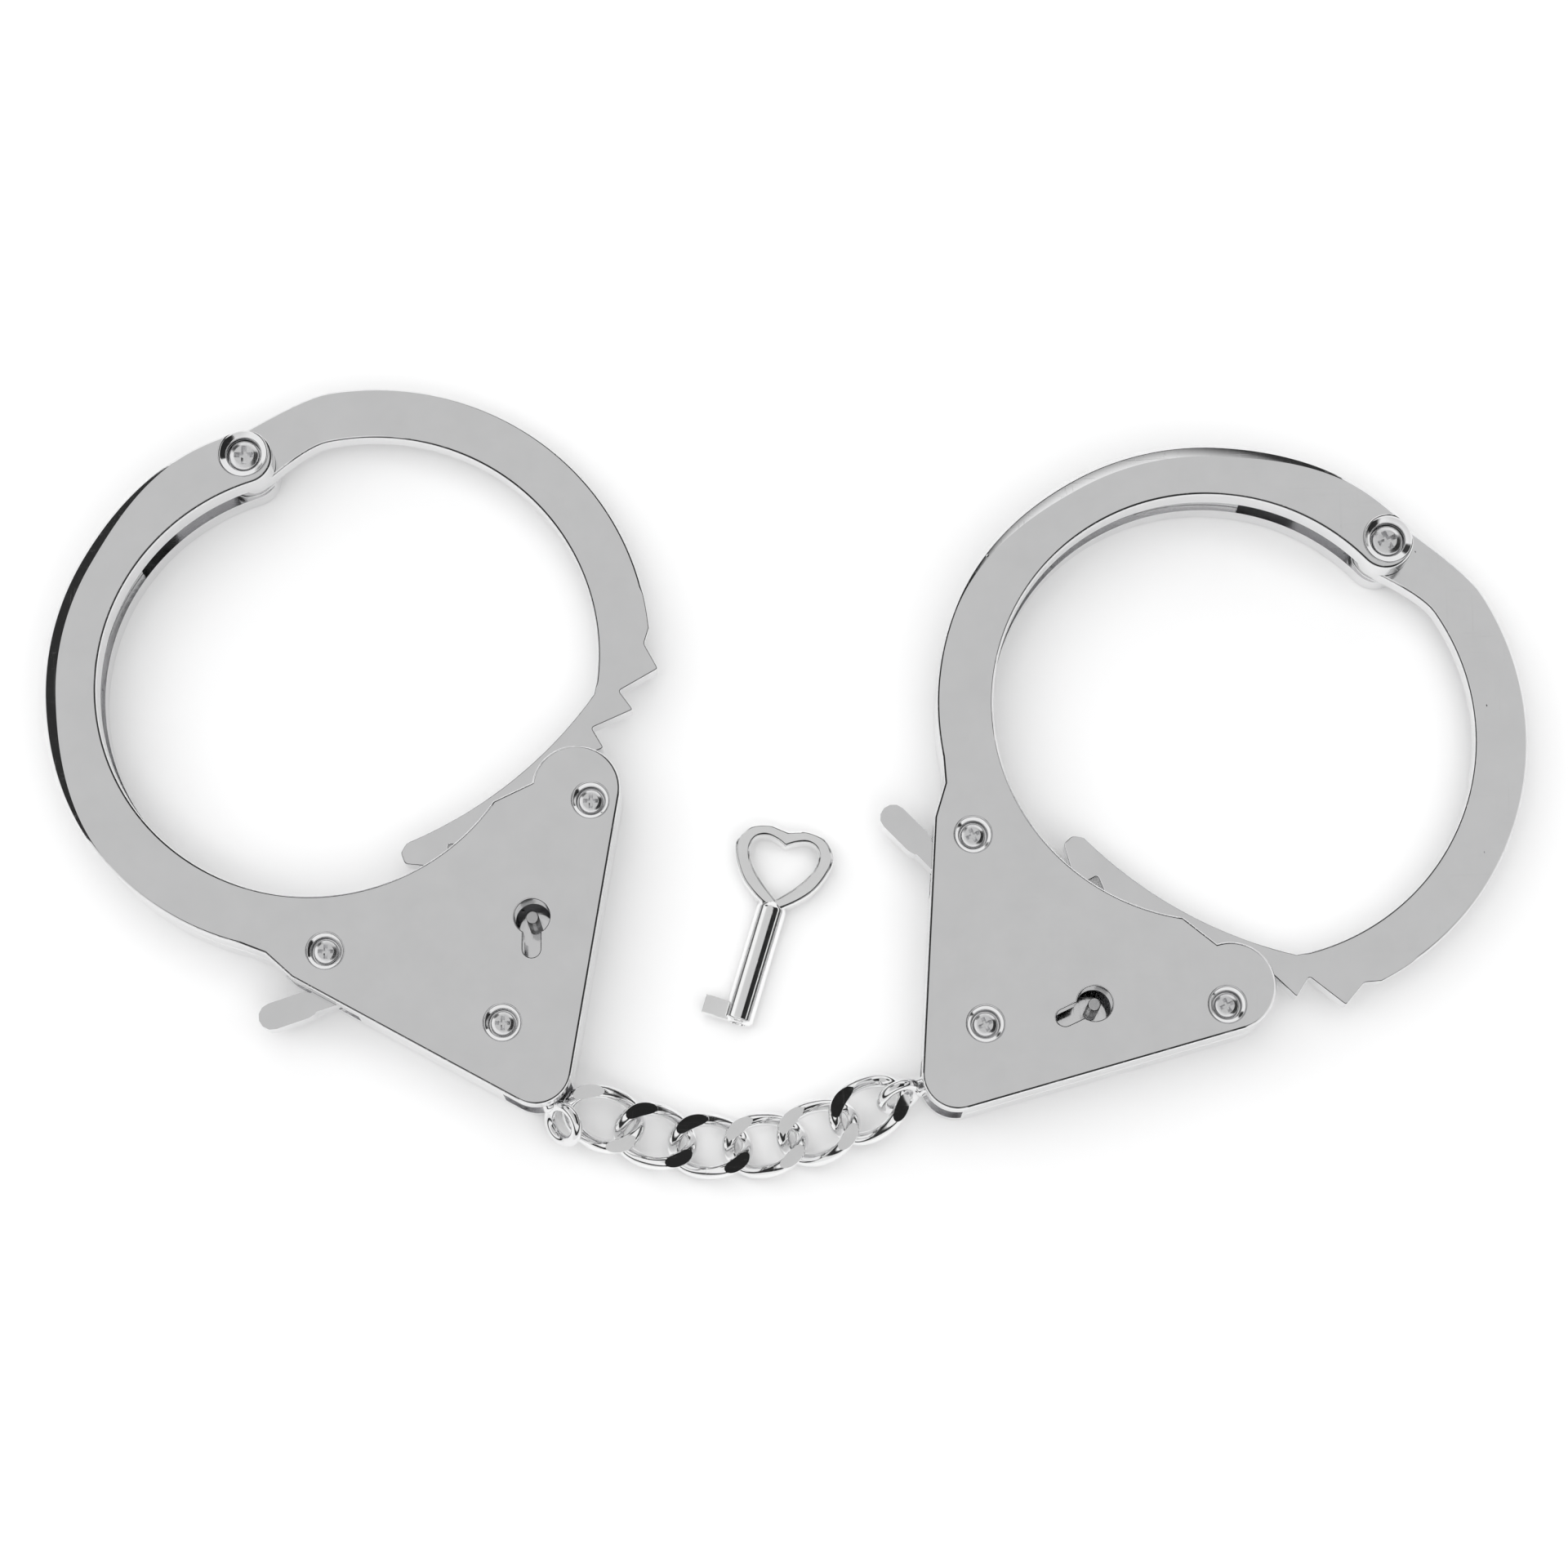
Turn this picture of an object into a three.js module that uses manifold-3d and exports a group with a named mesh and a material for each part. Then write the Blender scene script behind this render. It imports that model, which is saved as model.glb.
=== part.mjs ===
// Pair of chain handcuffs lying flat, with their key between them.
// Millimetres, +Z up. Each cuff is drawn in its own frame, with the arm's pivot at the origin,
// and is then placed in the layout. The whole layout stands on z = 0.
import * as THREE from 'three';
import { mergeVertices } from 'three/addons/utils/BufferGeometryUtils.js';
import Module from 'manifold-3d';

const wasm = await Module();
wasm.setup();

// ---- driving dimensions ----
const THICKNESS = 12;                        // whole cuff, face to face
const PLATE = 4;                             // one cast shell's face plate
const GAP = 0.3;                             // running gap between neighbouring pieces
const OVER = 1;                              // how far a cutter runs past the face it opens
const LAP = 0.1;                             // how far two joined bodies run into each other
const MID = THICKNESS / 2;                   // height of the parting line and of the arm
const SLOT_LOW = PLATE;
const SLOT_HIGH = THICKNESS - PLATE;
const WALL = 1.4;                            // side wall of the shells
const ARM_LOW = SLOT_LOW + GAP;
const ARM_HIGH = SLOT_HIGH - GAP;

// Cuff outline. Angles are in degrees about each arc's own centre.
const BOW = { x: 11.1, y: -33.7, inner: 30.9, outer: 38.9, pivotAngle: 108.2, housingAngle: 256, end: -34 };
const LOBE = { x: 48.3, y: -49.2, r: 6.25, end: 172 };  // rounded corner where the arm enters the housing
const TIP = { x: 43.2, y: -89.0, r: 5 };     // rounded corner that holds the swivel
const FLANK = [[5.2, -72.8], [9.0, -76.2]];  // where the housing's long flank leaves the bow
const FLANK_INWARDS = [0.6, 0.8];
const LOWER_FLANK_NORMAL = -120;             // outward directions of the two long flanks
const RIGHT_FLANK_NORMAL = -8.6;
const RIM = { start: 130, end: 38 };         // the side wall: clear of the opening arm, to beside the teeth
const BOW_FILL = { depth: 6.6, from: 145, to: 235 };  // the bow is solid here, behind a shallow groove
const CORNER_STEP = 14;                      // degrees between points on the small corners

const ARM = { x: 18.4, y: -29.0, inner: 32.6, outer: 40.1, eye: 4.2 };
const NECK = {                               // how the arm's two edges run into its eye
  innerAngle: 102, innerBend: [8.8, 2.3], innerEye: 312,
  outerAngle: 100, outerBend: [7.85, 9.86], outerEye: 122,
};
const TOOTH = { count: 7, first: -27.3, pitch: 5.95, slope: 4.9, tip: 67.1, root: 63.9, inner: 61.2 };
const ARM_END = { inner: -9.7, back: -36, slant: 1.2, outer: 6, shoulder: [57.6, -27.1] };

const PIVOT = [0, 0];
const HOUSING_SCREWS = [[50.4, -50.9], [13.6, -72.4], [38.5, -82.5]];
const PIVOT_WELL = { bore: 1.6, seat: 9.5, wall: 2.5, lip: 11, mouth: 3.25 };
const HOUSING_WELL = { bore: 1.25, seat: 10.2, wall: 2.0, lip: 11.3, mouth: 2.5 };
const SCREW_HOLE_LOW = 1.2;                  // the screws' blind holes in the back shell
const PIVOT_SCREW = { shank: 1.25, low: 4.5, seat: 9.8, head: 2.2, top: 11.1, cross: 1.3 };
const HOUSING_SCREW = { shank: 0.95, low: 1.6, seat: 10.5, head: 1.7, top: 11.4, cross: 1.0 };
const CROSS = { depth: 0.7, narrow: 0.27 };
const SLEEVE = { r: 2.2, flange: 3.0, low: 0.3, flangeTop: 1.3, floor: 3.0, bore: 1.55, top: 7.7 };
const SLEEVE_WELL = { r: 3.3, depth: 1.6, bore: 2.5 };

const PAWL_PIN = [49.6, -57.0];
const LEVER_PIN = [19.0, -76.5];
const KEY_POST = [42.4, -67.5];
const DRIVE_PIN = [29.5, -67.9];             // pin on the pawl's tail, in the lever's fork
const PIN_R = 1.0;
const PIN_REACH = 1.5;                       // how far a pin runs into each shell
const PIN_HOLE_DEPTH = 1.8;
const POST = { r: 0.9, top: 11 };
const KEYHOLE = { r: 2.5, reach: 4.6, halfWidth: 1.25, direction: -90 };

const NOSE = [                               // the pawl's body, with the nose that meets the teeth
  [34.2, -62.6], [36.6, -63.6], [44.5, -61.4], [50.6, -59.0], [48.4, -55.1], [37.0, -60.3], [33.1, -59.5],
];
const PAWL_HUB = 2.2;
const KEY_TALON = [[48.0, -58.5], [48.0, -69.0], [49.8, -69.0], [51.6, -58.5]];  // the key's bit lifts this
const TAIL = { from: [36.0, -62.4], halfWidth: 1.4, top: 5.9, pin: 0.8 };
const LEVER = {
  hub: 2.3, fork: 2.3, forkLow: 6.2, forkReach: 15.8, slot: 1.15, slotStart: 13.2,
  neck: 1.4, neckReach: 9.0, neckAngle: 198.8, tabEnd: [5.9, -81.0], tab: 1.9,
};
const LEVER_SLOT = [[7.2, -74.6], [8.4, -80.2], [19.6, -85.6], [17.0, -78.0]];
const SPRING_STRIP = [                       // foot behind the wall, then a bowed leaf to the pawl
  [32.2, -84.4], [35.0, -84.4], [35.4, -83.9], [35.3, -74.0], [36.3, -65.6], [36.0, -65.0],
  [35.6, -65.2], [34.7, -74.0], [34.7, -83.6], [32.2, -83.6],
];

const SWIVEL_BALL = [41.8, -88.0];
const SWIVEL = { ball: 2.6, stem: 1.2, reach: 9.3, ring: 2.6, wire: 0.8 };
const MOUTH = { from: -128, to: -22, reach: 16 };  // the swivel's swing, about the ball
const RELIEF = { r: 11, lip: 1.6, depth: 1.1 };    // room for the swivel's ring behind the lips
const BALL_SEAT_R = 2.1;

const LEFT_CUFF = { x: -77.6, y: 48.6, turn: 0, close: 0, stem: -57.5, spin: 50 };
const RIGHT_CUFF = { x: 86.3, y: 35.9, turn: -64.8, close: -4.3, stem: -89.3, spin: 115 };

const LINK = { a: 5.1, b: 3.65, twist: 1.6, wire: 1.0, pitch: 7.8 };
// Where the third and fourth links touch, then each link's heading in plan, climb and roll.
const CHAIN_MIDDLE = [-6.46, -50.36, 2.95];
const CHAIN = [
  { heading: -22, climb: -0.27, roll: 10 },
  { heading: -15, climb: -1.1, roll: 0 },
  { heading: -4, climb: -0.55, roll: 0 },
  { heading: 7, climb: 0.55, roll: 0 },
  { heading: 19, climb: 1.1, roll: 0 },
  { heading: 30, climb: 0.27, roll: 0 },
];

const KEY = { x: -6.61, y: -32.53, tilt: -16.5, shank: 2.15, shankTop: 18.4, bore: 1.1, boreDepth: 9 };
const KEY_BIT = { reach: 5.3, low: 0, high: 2.7, thick: 2.0 };
// The right half of the key's heart, from its notch over the lobe to its foot, and its turn on the shank.
const HEART = {
  outer: [
    [0, 28.4], [1.5, 28.75], [2.95, 28.95], [5.4, 28.25], [6.95, 26.2], [7.05, 24.6], [6.3, 22.4],
    [5.2, 20.5], [3.8, 19.05], [2.1, 17.75], [0, 16.5],
  ],
  inner: [
    [0, 26.1], [1.35, 26.85], [3.0, 27.25], [4.3, 26.7], [4.88, 25.4], [4.6, 23.7], [3.8, 22.25],
    [2.9, 21.15], [1.9, 20.1], [0, 18.4],
  ],
  turn: 6, turnY: 20.4, thick: 3.5,
};

const NICKEL = { color: 0xc9cacc, metalness: 1, roughness: 0.18 };
const STEEL = { color: 0xa9abae, metalness: 1, roughness: 0.3 };
const SPRING_STEEL = { color: 0x8d9094, metalness: 1, roughness: 0.35 };

// ---- geometry helpers ----
const rad = THREE.MathUtils.degToRad;
const deg = THREE.MathUtils.radToDeg;

function polar(x, y, r, angle) {
  return [x + r * Math.cos(rad(angle)), y + r * Math.sin(rad(angle))];
}

function arc(x, y, r, from, to, step = 6) {
  const count = Math.max(2, Math.ceil(Math.abs(to - from) / step));
  return Array.from({ length: count + 1 }, (_, i) => polar(x, y, r, from + ((to - from) * i) / count));
}

function circle(x, y, r, sides = 20) {
  return Array.from({ length: sides }, (_, i) => polar(x, y, r, (360 * i) / sides));
}

// The points between two ends of a smooth bend that leaves and arrives along the lines to its corner.
function bend([ax, ay], [cx, cy], [bx, by], count = 4) {
  const points = [];
  for (let i = 1; i < count; i += 1) {
    const t = i / count;
    const [u, v, w] = [(1 - t) ** 2, 2 * t * (1 - t), t * t];
    points.push([u * ax + v * cx + w * bx, u * ay + v * cy + w * by]);
  }
  return points;
}

function toSolid(geometry, [x, y] = [0, 0]) {
  const bare = geometry.index ? geometry.toNonIndexed() : geometry.clone();
  bare.deleteAttribute('normal');
  bare.deleteAttribute('uv');
  const merged = mergeVertices(bare, 1e-4).translate(x, y, 0);
  return new wasm.Manifold(new wasm.Mesh({
    numProp: 3,
    vertProperties: new Float32Array(merged.attributes.position.array),
    triVerts: new Uint32Array(merged.index.array),
  }));
}

function toGeometry(solid) {
  const mesh = solid.getMesh();
  const geometry = new THREE.BufferGeometry();
  geometry.setAttribute('position', new THREE.BufferAttribute(new Float32Array(mesh.vertProperties), 3));
  geometry.setIndex(new THREE.BufferAttribute(new Uint32Array(mesh.triVerts), 1));
  geometry.computeVertexNormals();
  return geometry;
}

// A plate with the given outline, from one height to another.
function plate(points, low, high, hole = null) {
  const shape = new THREE.Shape(points.map(([x, y]) => new THREE.Vector2(x, y)));
  if (hole) {
    shape.holes.push(new THREE.Path(hole.map(([x, y]) => new THREE.Vector2(x, y))));
  }
  const geometry = new THREE.ExtrudeGeometry(shape, { depth: high - low, bevelEnabled: false });
  return toSolid(geometry.translate(0, 0, low));
}

function disc([x, y], r, low, high, sides = 20) {
  return plate(circle(x, y, r, sides), low, high);
}

// A solid of revolution about a vertical axis through the given point, its profile listed upwards.
function turned(at, profile, sides = 20) {
  const points = profile.map(([r, z]) => new THREE.Vector2(r, z));
  const geometry = new THREE.LatheGeometry(points, sides);
  return toSolid(geometry.rotateX(Math.PI / 2), at);
}

// A bar with round ends between two points.
function bar([ax, ay], [bx, by], halfWidth, low, high) {
  const along = deg(Math.atan2(by - ay, bx - ax));
  const outline = [
    ...arc(ax, ay, halfWidth, along + 90, along + 270, 30),
    ...arc(bx, by, halfWidth, along - 90, along + 90, 30),
  ];
  return plate(outline, low, high);
}

// ---- shells ----
// From the foot of the bow round the housing's tip, set in from its outer wall.
function housingSide(inset) {
  const [dx, dy] = FLANK_INWARDS;
  return [
    ...FLANK.map(([x, y]) => [x + inset * dx, y + inset * dy]),
    ...arc(TIP.x, TIP.y, TIP.r - inset, LOWER_FLANK_NORMAL, RIGHT_FLANK_NORMAL, CORNER_STEP),
  ];
}

function cuffOutline() {
  const mid = (BOW.inner + BOW.outer) / 2;
  const [capX, capY] = polar(BOW.x, BOW.y, mid, BOW.pivotAngle);
  return [
    ...arc(BOW.x, BOW.y, BOW.outer, BOW.pivotAngle, BOW.housingAngle),
    ...housingSide(0),
    ...arc(LOBE.x, LOBE.y, LOBE.r, RIGHT_FLANK_NORMAL, LOBE.end, CORNER_STEP),
    ...arc(BOW.x, BOW.y, BOW.inner, BOW.end, BOW.pivotAngle - 360),
    ...arc(capX, capY, mid - BOW.inner, BOW.pivotAngle - 180, BOW.pivotAngle, 20).slice(1, -1),
  ];
}

// The closed side wall, thickened along the bow: its outer side out, and its inner side back.
function rimOutline() {
  const outer = [
    ...arc(BOW.x, BOW.y, BOW.outer, RIM.start, BOW.housingAngle),
    ...housingSide(0),
    ...arc(LOBE.x, LOBE.y, LOBE.r, RIGHT_FLANK_NORMAL, RIM.end, CORNER_STEP),
  ];
  const inner = [
    ...arc(BOW.x, BOW.y, BOW.outer - WALL, RIM.start, BOW_FILL.from),
    ...arc(BOW.x, BOW.y, BOW.outer - BOW_FILL.depth, BOW_FILL.from, BOW_FILL.to),
    ...arc(BOW.x, BOW.y, BOW.outer - WALL, BOW_FILL.to, BOW.housingAngle),
    ...housingSide(WALL),
    ...arc(LOBE.x, LOBE.y, LOBE.r - WALL, RIGHT_FLANK_NORMAL, RIM.end, CORNER_STEP),
  ];
  return [...outer, ...inner.reverse()];
}

function mouthSector(low, high) {
  const angles = [MOUTH.from, (MOUTH.from + MOUTH.to) / 2, MOUTH.to];
  const corners = angles.map((angle) => polar(...SWIVEL_BALL, MOUTH.reach, angle));
  return plate([SWIVEL_BALL, ...corners], low, high);
}

// Openings through the side wall: the swivel's mouth and the lever's slot.
function rimOpenings() {
  return mouthSector(SLOT_LOW - GAP, SLOT_HIGH + GAP)
    .add(disc(SWIVEL_BALL, SWIVEL.ball + GAP, SLOT_LOW, SLOT_HIGH))
    .add(plate(LEVER_SLOT, SLOT_LOW, SLOT_HIGH));
}

// Room for the ball between the shells, and a relief where its ring swings past the lips.
function swivelPocket() {
  const low = SLOT_LOW - RELIEF.depth;
  const relief = plate(circle(...SWIVEL_BALL, RELIEF.r, 40), low, SLOT_HIGH + RELIEF.depth)
    .intersect(mouthSector(0, THICKNESS))
    .subtract(disc(SWIVEL_BALL, SWIVEL.ball + RELIEF.lip, 0, THICKNESS));
  const room = SWIVEL.ball + GAP;
  return relief.add(disc(SWIVEL_BALL, BALL_SEAT_R, MID - room, MID + room));
}

function pinHoles(low, high) {
  return [PAWL_PIN, LEVER_PIN]
    .map((at) => disc(at, PIN_R + GAP, low, high, 12))
    .reduce((all, hole) => all.add(hole));
}

// A screw's stepped hole: its bore, the seat under the head, and the countersunk mouth.
function screwWell(at, well, sides) {
  return turned(at, [
    [0, SLOT_HIGH - OVER], [well.bore, SLOT_HIGH - OVER], [well.bore, well.seat], [well.wall, well.seat],
    [well.wall, well.lip], [well.mouth, THICKNESS], [well.mouth, THICKNESS + OVER], [0, THICKNESS + OVER],
  ], sides);
}

function frontShell() {
  const face = plate(cuffOutline(), SLOT_HIGH, THICKNESS);
  const rim = plate(rimOutline(), MID + GAP / 2, SLOT_HIGH + LAP).subtract(rimOpenings());
  const low = SLOT_HIGH - OVER;
  const high = THICKNESS + OVER;
  const slotEnd = polar(...KEY_POST, KEYHOLE.reach, KEYHOLE.direction);
  let shell = face.add(rim).subtract(screwWell(PIVOT, PIVOT_WELL, 20));
  for (const at of HOUSING_SCREWS) {
    shell = shell.subtract(screwWell(at, HOUSING_WELL, 16));
  }
  return shell
    .subtract(disc(KEY_POST, KEYHOLE.r, low, high))
    .subtract(bar(KEY_POST, slotEnd, KEYHOLE.halfWidth, low, high))
    .subtract(swivelPocket())
    .subtract(pinHoles(low, SLOT_HIGH + PIN_HOLE_DEPTH));
}

function backShell() {
  const face = plate(cuffOutline(), 0, SLOT_LOW);
  const rim = plate(rimOutline(), SLOT_LOW - LAP, MID - GAP / 2).subtract(rimOpenings());
  const high = SLOT_LOW + OVER;
  const { r, depth, bore } = SLEEVE_WELL;
  let shell = face.add(rim).subtract(turned(PIVOT, [
    [0, -OVER], [r, -OVER], [r, depth], [bore, depth], [bore, high], [0, high],
  ]));
  for (const at of HOUSING_SCREWS) {
    shell = shell.subtract(disc(at, HOUSING_WELL.bore, SCREW_HOLE_LOW, high, 16));
  }
  return shell
    .subtract(disc(KEY_POST, POST.r + GAP, SLOT_LOW - PIN_HOLE_DEPTH, high, 12))
    .subtract(swivelPocket())
    .subtract(pinHoles(SLOT_LOW - PIN_HOLE_DEPTH, high));
}

// ---- swing arm ----
function teeth() {
  const points = [];
  for (let i = TOOTH.count - 1; i >= 0; i -= 1) {
    const tip = TOOTH.first - TOOTH.pitch * i;
    points.push(polar(...PIVOT, TOOTH.root, tip - TOOTH.slope));
    points.push(polar(...PIVOT, TOOTH.tip, tip));
  }
  return points;
}

function swingArm() {
  const eye = arc(...PIVOT, ARM.eye, NECK.outerEye, NECK.innerEye, 20);
  const inner = arc(ARM.x, ARM.y, ARM.inner, NECK.innerAngle, ARM_END.inner);
  const outer = arc(ARM.x, ARM.y, ARM.outer, ARM_END.outer, NECK.outerAngle);
  const lastRoot = TOOTH.first - TOOTH.pitch * (TOOTH.count - 1) - TOOTH.slope;
  const outline = [
    ...eye,
    ...bend(eye[eye.length - 1], NECK.innerBend, inner[0]),
    ...inner,
    ...arc(...PIVOT, TOOTH.inner, ARM_END.back, lastRoot + ARM_END.slant),
    polar(...PIVOT, TOOTH.inner + 1, lastRoot),
    ...teeth(),
    ARM_END.shoulder,
    ...outer,
    ...bend(outer[outer.length - 1], NECK.outerBend, eye[0]),
  ];
  return plate(outline, ARM_LOW, ARM_HIGH).subtract(disc(PIVOT, SLEEVE.r + GAP, 0, THICKNESS));
}

// ---- fasteners and pins ----
function crossRecess([x, y], size, top) {
  const slot = (dx, dy) => plate([
    [x - dx, y - dy], [x + dx, y - dy], [x + dx, y + dy], [x - dx, y + dy],
  ], top - CROSS.depth, top + OVER);
  return slot(size, size * CROSS.narrow).add(slot(size * CROSS.narrow, size));
}

function screw(at, size, sides) {
  const body = turned(at, [
    [0, size.low], [size.shank, size.low], [size.shank, size.seat], [size.head, size.seat],
    [size.head, size.top], [0, size.top],
  ], sides);
  return body.subtract(crossRecess(at, size.cross, size.top));
}

function pivotSleeve() {
  return turned(PIVOT, [
    [0, SLEEVE.low], [SLEEVE.flange, SLEEVE.low], [SLEEVE.flange, SLEEVE.flangeTop],
    [SLEEVE.r, SLEEVE.flangeTop], [SLEEVE.r, SLEEVE.top], [SLEEVE.bore, SLEEVE.top],
    [SLEEVE.bore, SLEEVE.floor], [0, SLEEVE.floor],
  ]);
}

function pin(at, r, top) {
  return disc(at, r, SLOT_LOW - PIN_REACH, top, 12);
}

// ---- lock ----
function pawl() {
  return plate(NOSE, ARM_LOW, ARM_HIGH)
    .add(disc(PAWL_PIN, PAWL_HUB, ARM_LOW, ARM_HIGH))
    .add(plate(KEY_TALON, ARM_LOW, ARM_HIGH))
    .add(bar(TAIL.from, DRIVE_PIN, TAIL.halfWidth, ARM_LOW, TAIL.top))
    .add(disc(DRIVE_PIN, TAIL.pin, TAIL.top - LAP, ARM_HIGH - GAP, 12))
    .subtract(disc(PAWL_PIN, PIN_R + GAP, 0, THICKNESS, 12));
}

function releaseLever() {
  const [x, y] = LEVER_PIN;
  const toPin = deg(Math.atan2(DRIVE_PIN[1] - y, DRIVE_PIN[0] - x));
  const forkEnd = polar(x, y, LEVER.forkReach - LEVER.fork, toPin);
  const slotStart = polar(x, y, LEVER.slotStart, toPin);
  const slotEnd = polar(x, y, LEVER.forkReach + LEVER.fork, toPin);
  const neck = polar(x, y, LEVER.neckReach, LEVER.neckAngle);
  return bar(LEVER_PIN, forkEnd, LEVER.fork, LEVER.forkLow, ARM_HIGH)
    .subtract(bar(slotStart, slotEnd, LEVER.slot, 0, THICKNESS))
    .add(disc(LEVER_PIN, LEVER.hub, ARM_LOW, ARM_HIGH))
    .add(bar(LEVER_PIN, neck, LEVER.neck, ARM_LOW, ARM_HIGH))
    .add(bar(neck, LEVER.tabEnd, LEVER.tab, ARM_LOW, ARM_HIGH))
    .subtract(disc(LEVER_PIN, PIN_R + GAP, 0, THICKNESS, 12));
}

// Bent strip that presses the pawl towards the teeth.
function pawlSpring() {
  return plate(SPRING_STRIP, ARM_LOW + GAP, ARM_HIGH - GAP);
}

// ---- swivel and chain ----
function swivel(stemAngle, spin) {
  const ball = toSolid(new THREE.SphereGeometry(SWIVEL.ball, 16, 10));
  const stemEnd = SWIVEL.reach - SWIVEL.ring;
  const stem = toSolid(new THREE.CylinderGeometry(SWIVEL.stem, SWIVEL.stem, stemEnd, 12)
    .rotateZ(Math.PI / 2).translate(stemEnd / 2, 0, 0));
  const ring = toSolid(new THREE.TorusGeometry(SWIVEL.ring, SWIVEL.wire, 8, 22)
    .translate(SWIVEL.reach, 0, 0).rotateX(rad(spin)));
  const place = new THREE.Matrix4().makeTranslation(...SWIVEL_BALL, MID)
    .multiply(new THREE.Matrix4().makeRotationZ(rad(stemAngle)));
  return toSolid(toGeometry(ball.add(stem).add(ring)).applyMatrix4(place));
}

// A link is a closed loop of wire, twisted so that it lies flat through its neighbours.
class LinkCurve extends THREE.Curve {
  getPoint(t, target = new THREE.Vector3()) {
    const angle = 2 * Math.PI * t;
    return target.set(
      LINK.a * Math.cos(angle), LINK.b * Math.sin(angle), -LINK.twist * Math.sin(2 * angle));
  }
}

function chainLink() {
  const steps = 24;
  const sides = 8;
  const curve = new LinkCurve();
  const frames = curve.computeFrenetFrames(steps, true);
  const positions = [];
  const index = [];
  for (let i = 0; i < steps; i += 1) {
    const centre = curve.getPoint(i / steps);
    const next = (i + 1) % steps;
    for (let j = 0; j < sides; j += 1) {
      const angle = (2 * Math.PI * j) / sides;
      const offset = frames.normals[i].clone().multiplyScalar(Math.cos(angle) * LINK.wire)
        .addScaledVector(frames.binormals[i], Math.sin(angle) * LINK.wire);
      positions.push(...centre.clone().add(offset).toArray());
      const beside = (j + 1) % sides;
      const [a, b, c, d] = [i * sides + j, i * sides + beside, next * sides + j, next * sides + beside];
      index.push(a, b, c, b, d, c);
    }
  }
  const geometry = new THREE.BufferGeometry();
  geometry.setAttribute('position', new THREE.Float32BufferAttribute(positions, 3));
  geometry.setIndex(index);
  geometry.computeVertexNormals();
  return geometry;
}

function linkDirection({ heading, climb }) {
  const flat = Math.sqrt(LINK.pitch ** 2 - climb ** 2);
  return new THREE.Vector3(flat * Math.cos(rad(heading)), flat * Math.sin(rad(heading)), climb).normalize();
}

// The middle of each link, worked out both ways from the chain's middle.
function linkCentres() {
  const half = CHAIN.length / 2;
  const centres = [];
  for (const way of [1, -1]) {
    let contact = new THREE.Vector3(...CHAIN_MIDDLE);
    for (let n = 0; n < half; n += 1) {
      const i = way > 0 ? half + n : half - 1 - n;
      const direction = linkDirection(CHAIN[i]).multiplyScalar(way);
      centres[i] = contact.clone().addScaledVector(direction, LINK.pitch / 2);
      contact = contact.addScaledVector(direction, LINK.pitch);
    }
  }
  return centres;
}

// ---- key ----
// A whole heart outline from its right half.
function heartOutline(half) {
  const curve = new THREE.SplineCurve(half.map(([x, y]) => new THREE.Vector2(x, y)));
  const right = curve.getPoints(30).map(({ x, y }) => [x, y]);
  const left = right.slice(1, -1).map(([x, y]) => [-x, y]);
  return [...right.reverse(), ...left];
}

function keyBow() {
  const half = HEART.thick / 2;
  return plate(heartOutline(HEART.outer), -half, half, heartOutline(HEART.inner))
    .translate([0, -HEART.turnY, 0])
    .rotate([0, 0, HEART.turn])
    .translate([0, HEART.turnY, 0]);
}

function key() {
  const along = (r, from, to, sides) => toSolid(
    new THREE.CylinderGeometry(r, r, to - from, sides).translate(0, (from + to) / 2, 0));
  const { reach, low, high, thick } = KEY_BIT;
  const bit = plate([[-reach, low], [0, low], [0, high], [-reach, high]], -thick / 2, thick / 2);
  return along(KEY.shank, 0, KEY.shankTop, 20)
    .add(bit)
    .subtract(along(KEY.bore, -OVER, KEY.boreDepth, 12))
    .add(keyBow());
}

// ---- assembly ----
const handcuffs = new THREE.Group();

function piece(parent, name, shape, finish) {
  const geometry = shape.isBufferGeometry ? shape : toGeometry(shape);
  const mesh = new THREE.Mesh(geometry, new THREE.MeshStandardMaterial(finish));
  mesh.name = name;
  parent.add(mesh);
  return mesh;
}

function cuff(side, place) {
  const group = new THREE.Group();
  group.position.set(place.x, place.y, 0);
  group.rotation.z = rad(place.turn);
  const pinTop = SLOT_HIGH + PIN_REACH;
  piece(group, `${side}_front_shell`, frontShell(), NICKEL);
  piece(group, `${side}_back_shell`, backShell(), NICKEL);
  piece(group, `${side}_swing_arm`, swingArm(), NICKEL).rotation.z = rad(place.close);
  piece(group, `${side}_pivot_screw`, screw(PIVOT, PIVOT_SCREW, 20), STEEL);
  piece(group, `${side}_pivot_sleeve`, pivotSleeve(), STEEL);
  for (const [i, at] of HOUSING_SCREWS.entries()) {
    piece(group, `${side}_housing_screw_${i + 1}`, screw(at, HOUSING_SCREW, 14), STEEL);
  }
  piece(group, `${side}_pawl`, pawl(), STEEL);
  piece(group, `${side}_pawl_pin`, pin(PAWL_PIN, PIN_R, pinTop), STEEL);
  piece(group, `${side}_pawl_spring`, pawlSpring(), SPRING_STEEL);
  piece(group, `${side}_release_lever`, releaseLever(), NICKEL);
  piece(group, `${side}_lever_pin`, pin(LEVER_PIN, PIN_R, pinTop), STEEL);
  piece(group, `${side}_key_post`, pin(KEY_POST, POST.r, POST.top), STEEL);
  piece(group, `${side}_swivel`, swivel(place.stem, place.spin), NICKEL);
  handcuffs.add(group);
}

function chain() {
  const centres = linkCentres();
  for (const [i, { heading, roll }] of CHAIN.entries()) {
    const link = piece(handcuffs, `chain_link_${i + 1}`, chainLink(), NICKEL);
    link.rotation.order = 'ZYX';
    link.rotation.set(rad(roll), -Math.asin(linkDirection(CHAIN[i]).z), rad(heading));
    link.position.copy(centres[i]);
  }
}

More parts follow.
